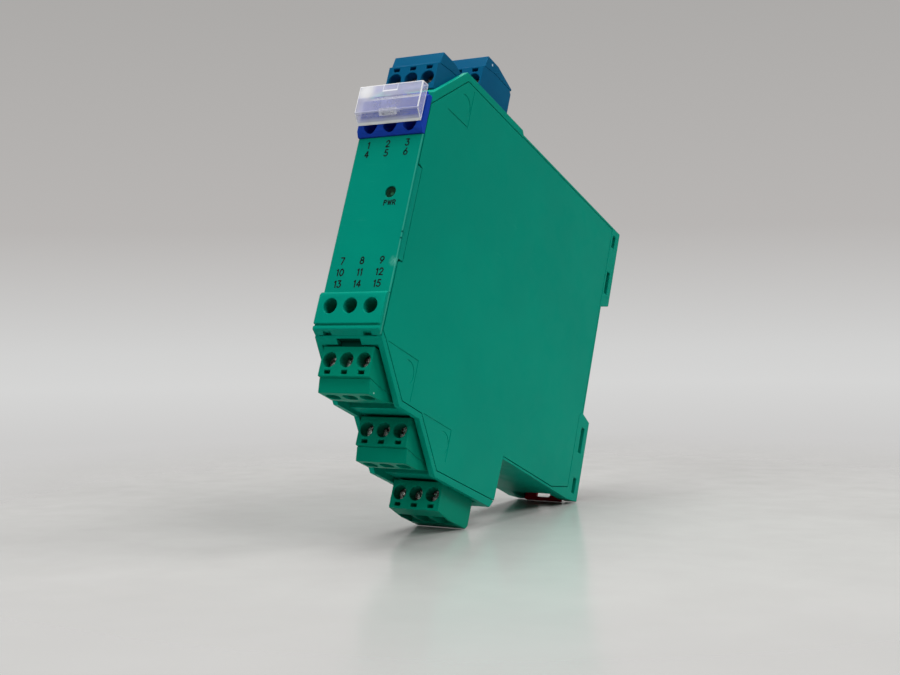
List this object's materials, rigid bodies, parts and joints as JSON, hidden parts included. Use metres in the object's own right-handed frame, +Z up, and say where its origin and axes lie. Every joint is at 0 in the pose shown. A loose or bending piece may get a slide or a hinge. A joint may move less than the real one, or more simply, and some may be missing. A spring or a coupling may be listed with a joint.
{
  "type": "rail-mounted signal isolator",
  "caption": "Narrow green rail-mounted signal isolator with stepped ends, plug-in screw terminals in green and blue, a clear hinged label flap and a red rail latch.",
  "frame": {"origin": "centre of the rail seat, on the plane that rests on the rail's flanges", "axes": "+X along the rail towards the side cover, +Y from the front to the rail, +Z up towards the blue plugs"},
  "size_m": [0.02, 0.1201, 0.1244],
  "materials": {
    "case_green": "moulded green plastic with a fine satin grain",
    "panel_green": "moulded green plastic, slightly lighter on the front",
    "plug_green": "moulded green plastic",
    "plug_blue": "moulded teal blue plastic",
    "block_blue": "moulded royal blue plastic",
    "clear": "clear moulded plastic",
    "latch_red": "moulded dark red plastic",
    "lamp_lens": "unlit green lamp window",
    "steel": "plated steel terminal screws",
    "tinned": "tin-plated metal",
    "brass": "brass spring contacts",
    "board": "green circuit board",
    "ferrite": "dark ferrite core",
    "can": "sleeved capacitor can",
    "chip": "black moulded chip",
    "copper": "wound copper wire"
  },
  "bodies": {
    "case": {"housing_shell": "case_green", "side_cover": "case_green", "front_panel": "panel_green", "status_led": "lamp_lens", "lower_block": "panel_green", "upper_block": "block_blue", "circuit_board": "board", "transformer": "ferrite", "capacitors": "can", "couplers": "chip", "coils": "copper", "header_g1": "plug_green", "header_g2": "plug_green", "header_g3": "plug_green", "header_b1": "plug_blue", "header_b2": "plug_blue", "pins_g1": "tinned", "pins_g2": "tinned", "pins_g3": "tinned", "pins_b1": "tinned", "pins_b2": "tinned"},
    "flap": {"label_flap": "clear"},
    "latch": {"din_latch": "latch_red"},
    "plug_g1": {"plug_g1": "plug_green", "hood_g1": "plug_green", "screws_g1": "steel", "clamps_g1": "tinned", "contacts_g1": "brass"},
    "plug_g2": {"plug_g2": "plug_green", "hood_g2": "plug_green", "screws_g2": "steel", "clamps_g2": "tinned", "contacts_g2": "brass"},
    "plug_g3": {"plug_g3": "plug_green", "screws_g3": "steel", "clamps_g3": "tinned", "contacts_g3": "brass"},
    "plug_b1": {"plug_b1": "plug_blue", "hood_b1": "plug_blue", "screws_b1": "steel", "clamps_b1": "tinned", "contacts_b1": "brass"},
    "plug_b2": {"plug_b2": "plug_blue", "hood_b2": "plug_blue", "screws_b2": "steel", "clamps_b2": "tinned", "contacts_b2": "brass"}
  },
  "joints": [
    {"name": "flap_hinge", "type": "hinge", "parent": "case", "child": "flap", "pos_m": [0, -0.1139, 0.0324], "axis": [-1, 0, 0], "range_deg": [0, 120]},
    {"name": "latch_slide", "type": "slide", "parent": "case", "child": "latch", "axis": [0, 0, -1], "range_m": [0, 0.0035], "stiffness_N_per_m": 900},
    {"name": "unplug_g1", "type": "slide", "parent": "case", "child": "plug_g1", "axis": [0, 0, -1], "range_m": [0, 0.016]},
    {"name": "unplug_g2", "type": "slide", "parent": "case", "child": "plug_g2", "axis": [0, 0, -1], "range_m": [0, 0.016]},
    {"name": "unplug_g3", "type": "slide", "parent": "case", "child": "plug_g3", "axis": [0, 0, -1], "range_m": [0, 0.016]},
    {"name": "unplug_b1", "type": "slide", "parent": "case", "child": "plug_b1", "axis": [0, 0, 1], "range_m": [0, 0.016]},
    {"name": "unplug_b2", "type": "slide", "parent": "case", "child": "plug_b2", "axis": [0, 0, 1], "range_m": [0, 0.016]}
  ]
}
